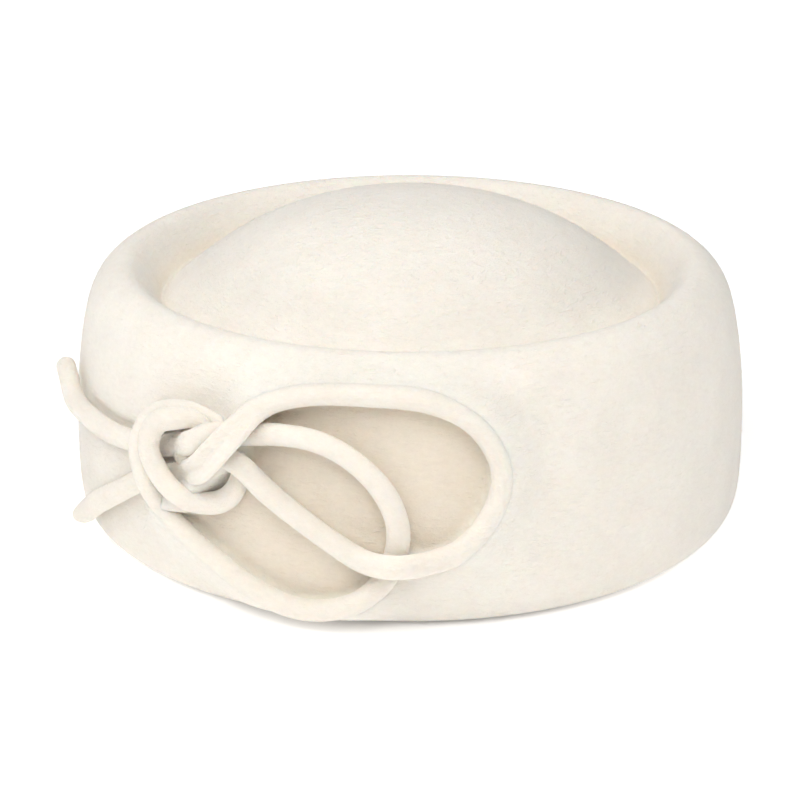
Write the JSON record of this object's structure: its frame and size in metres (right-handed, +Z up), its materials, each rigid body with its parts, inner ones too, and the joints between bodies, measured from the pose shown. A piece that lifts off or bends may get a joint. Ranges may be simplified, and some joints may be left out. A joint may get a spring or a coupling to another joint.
{
  "type": "pillbox hat",
  "caption": "Felt pillbox hat: a domed tip in a deep groove, a rounded rim higher than the groove, a gently bulging side and a knotted felt cord bow on the left front.",
  "frame": {"origin": "middle of the footprint, bow included, on the surface that the hat stands on; the felt shell's own axis is at x 2.69 mm, y 6.49 mm", "axes": "+Z up through the domed tip, -Y towards the front, +X towards the right of someone who looks at the front"},
  "size_m": [0.2287, 0.2374, 0.103],
  "materials": {
    "wool_felt": "matte, softly fuzzy",
    "felt_cord": "matte, softly fuzzy"
  },
  "bodies": {
    "root": {"felt_body": "wool_felt", "knotted_cord": "felt_cord"}
  },
  "joints": []
}
